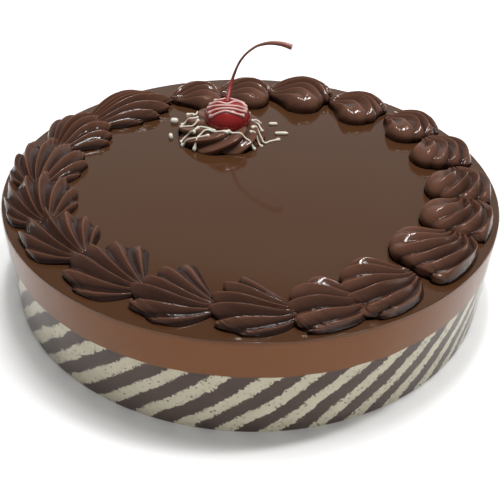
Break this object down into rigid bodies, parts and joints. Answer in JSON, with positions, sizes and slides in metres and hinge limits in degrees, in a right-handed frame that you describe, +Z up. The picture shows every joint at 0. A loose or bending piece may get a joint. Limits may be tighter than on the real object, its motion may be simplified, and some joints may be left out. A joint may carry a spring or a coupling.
{
  "type": "chocolate mousse cake",
  "caption": "Round layered mousse cake with a mirror glaze, a piped shell border, a clear collar and a rosette that holds a stemmed cherry.",
  "frame": {"origin": "centre of the cake's underside", "axes": "+Z up through the layers; -Y towards the front, so that the rosette with the cherry lies behind the centre on +Y; +X to the right"},
  "size_m": [0.2314, 0.2314, 0.0975],
  "materials": {
    "sponge": "porous, striped in cream and dark brown",
    "mousse": "smooth, fine grained",
    "glaze": "mirror glaze",
    "icing": "satin, slightly wet",
    "cherry": "glossy, syrupy",
    "stem": "satin",
    "film": "clear thin film"
  },
  "bodies": {
    "root": {"sponge_layer": "sponge", "mousse_layer": "mousse", "glaze": "glaze", "acetate_collar": "film", "shell_01": "icing", "shell_02": "icing", "shell_03": "icing", "shell_04": "icing", "shell_05": "icing", "shell_06": "icing", "shell_07": "icing", "shell_08": "icing", "shell_09": "icing", "shell_10": "icing", "shell_11": "icing", "shell_12": "icing", "shell_13": "icing", "shell_14": "icing", "shell_15": "icing", "shell_16": "icing", "shell_17": "icing", "shell_18": "icing", "shell_19": "icing", "rosette": "icing", "cherry": "cherry", "cherry_stem": "stem"}
  },
  "joints": []
}
